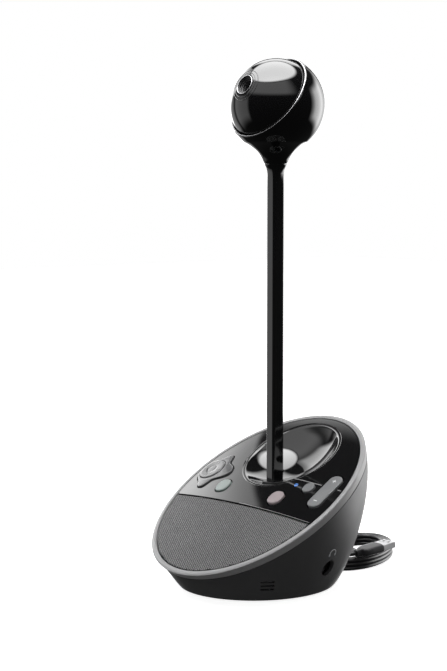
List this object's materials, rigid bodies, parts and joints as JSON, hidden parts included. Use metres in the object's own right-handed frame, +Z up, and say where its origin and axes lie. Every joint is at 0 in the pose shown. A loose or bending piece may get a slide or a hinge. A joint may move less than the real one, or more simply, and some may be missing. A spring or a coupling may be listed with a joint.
{
  "type": "desktop conference camera",
  "caption": "Conference camera: a ball head that pans and tilts on a thin upright stalk, in a slanted round base with a loudspeaker, keys, a docking bowl and a coiled data cable.",
  "frame": {"origin": "on the desk, under the middle of the base's rim", "axes": "+Z up along the stalk, -Y to the front where the speaker grille and the lens face, +X to the side with the headphone socket"},
  "size_m": [0.154, 0.2305, 0.3718],
  "materials": {
    "housing_plastic": "satin charcoal",
    "rim_plastic": "satin grey",
    "panel_gloss": "polished black",
    "grille_metal": "satin light grey, perforated",
    "black_plastic": "satin black",
    "stalk_black": "polished black",
    "key_plastic": "grey, slightly see-through",
    "answer_plastic": "grey with a green tint",
    "hangup_plastic": "grey with a red tint",
    "light_plastic": "clear blue",
    "cone_paper": "dull",
    "mat_rubber": "dull grey",
    "foot_rubber": "dull black",
    "cord_rubber": "satin black",
    "weight_iron": "plain",
    "steel": "plain",
    "bright_trim": "bright",
    "brass": "plain",
    "gear_nylon": "natural",
    "board": "green",
    "lens_glass": "coated"
  },
  "bodies": {
    "base": {"base_housing": "housing_plastic", "rim_ring": "rim_plastic", "top_panel": "panel_gloss", "speaker_grille": "grille_metal", "speaker_basket": "black_plastic", "speaker_cone": "cone_paper", "speaker_magnet": "weight_iron", "bottom_plate": "housing_plastic", "foot_ring": "foot_rubber", "ballast_plate": "weight_iron", "bottom_screw_1": "steel", "bottom_screw_2": "steel", "bottom_screw_3": "steel", "bottom_screw_4": "steel", "stalk_socket": "black_plastic", "main_board": "board", "usb_controller": "black_plastic", "headphone_jack": "black_plastic", "microphone_capsule": "steel", "light_pipe": "light_plastic", "key_mat_left": "mat_rubber", "key_mat_right": "mat_rubber", "cable_gland": "foot_rubber", "usb_cable": "cord_rubber", "usb_coil": "cord_rubber", "usb_tail": "cord_rubber", "usb_plug_body": "housing_plastic", "usb_plug_shell": "bright_trim"},
    "stalk": {"stalk_tube": "stalk_black", "stalk_plug": "brass", "stalk_harness": "cord_rubber"},
    "stalk_latch": {"stalk_latch": "stalk_black"},
    "neck": {"pan_spindle": "steel", "pan_motor": "steel"},
    "head": {"head_shell": "panel_gloss", "opening_trim": "bright_trim", "pan_shaft": "steel", "tilt_pin_left": "steel", "tilt_pin_right": "steel", "tilt_gear": "gear_nylon"},
    "eye": {"eye_shell": "panel_gloss", "lens_barrel": "black_plastic", "lens_bezel": "bright_trim", "lens_glass": "lens_glass", "sensor_board": "board", "tilt_motor": "steel"},
    "tilt_pinion": {"tilt_pinion": "brass"},
    "nav_gimbal": {"navigation_gimbal": "black_plastic"},
    "nav_pad": {"navigation_pad": "key_plastic"},
    "zoom_rocker": {"zoom_rocker": "key_plastic"},
    "volume_rocker": {"volume_rocker": "key_plastic"},
    "answer_key": {"answer_key": "answer_plastic"},
    "hangup_key": {"hangup_key": "hangup_plastic"},
    "mute_key": {"mute_key": "key_plastic"}
  },
  "joints": [
    {"name": "stalk_lift", "type": "slide", "parent": "base", "child": "stalk", "axis": [0, 0, 1], "range_m": [0, 0.03]},
    {"name": "stalk_latch_press", "type": "slide", "parent": "stalk", "child": "stalk_latch", "axis": [0, -1, 0], "range_m": [0, 0.0006], "stiffness_N_per_m": 1500},
    {"name": "head_lift", "type": "slide", "parent": "stalk", "child": "neck", "axis": [0, 0, 1], "range_m": [0, 0.015]},
    {"name": "head_pan", "type": "hinge", "parent": "neck", "child": "head", "pos_m": [0, 0.016, 0.298], "axis": [0, 0, 1], "range_deg": [-90, 90]},
    {"name": "eye_tilt", "type": "hinge", "parent": "head", "child": "eye", "pos_m": [0, 0.016, 0.3392], "axis": [1, 0, 0], "range_deg": [-5, 50]},
    {"name": "tilt_pinion_spin", "type": "hinge", "parent": "eye", "child": "tilt_pinion", "pos_m": [0, 0.02027, 0.32961], "axis": [1, 0, 0], "range_deg": [-20, 130]},
    {"name": "nav_left_right", "type": "hinge", "parent": "base", "child": "nav_gimbal", "pos_m": [-0.05827, 0.00913, 0.06979], "axis": [0.0012, 0.8519, 0.5237], "range_deg": [-3.5, 3.5], "stiffness_Nm_per_rad": 0.1},
    {"name": "nav_up_down", "type": "hinge", "parent": "nav_gimbal", "child": "nav_pad", "pos_m": [-0.05827, 0.00913, 0.06979], "axis": [0.9952, -0.0526, 0.0831], "range_deg": [-3.5, 3.5], "stiffness_Nm_per_rad": 0.1},
    {"name": "zoom_rock", "type": "hinge", "parent": "base", "child": "zoom_rocker", "pos_m": [-0.05827, 0.00913, 0.06979], "axis": [0.9952, -0.0526, 0.0831], "range_deg": [-1, 1], "stiffness_Nm_per_rad": 1},
    {"name": "volume_rock", "type": "hinge", "parent": "base", "child": "volume_rocker", "pos_m": [0.0602, 0.0083, 0.07306], "axis": [0.9949, 0.054, -0.0854], "range_deg": [-2, 2], "stiffness_Nm_per_rad": 0.5},
    {"name": "answer_press", "type": "slide", "parent": "base", "child": "answer_key", "axis": [0.0514, 0.539, -0.8407], "range_m": [0, 0.0008], "stiffness_N_per_m": 1200},
    {"name": "hangup_press", "type": "slide", "parent": "base", "child": "hangup_key", "axis": [-0.0455, 0.5402, -0.8403], "range_m": [0, 0.0008], "stiffness_N_per_m": 1200},
    {"name": "mute_press", "type": "slide", "parent": "base", "child": "mute_key", "axis": [-0.0757, 0.5217, -0.8497], "range_m": [0, 0.0008], "stiffness_N_per_m": 1200}
  ],
  "couplings": [
    {"joint": "tilt_pinion_spin", "follows": "eye_tilt", "ratio": 2.5}
  ]
}
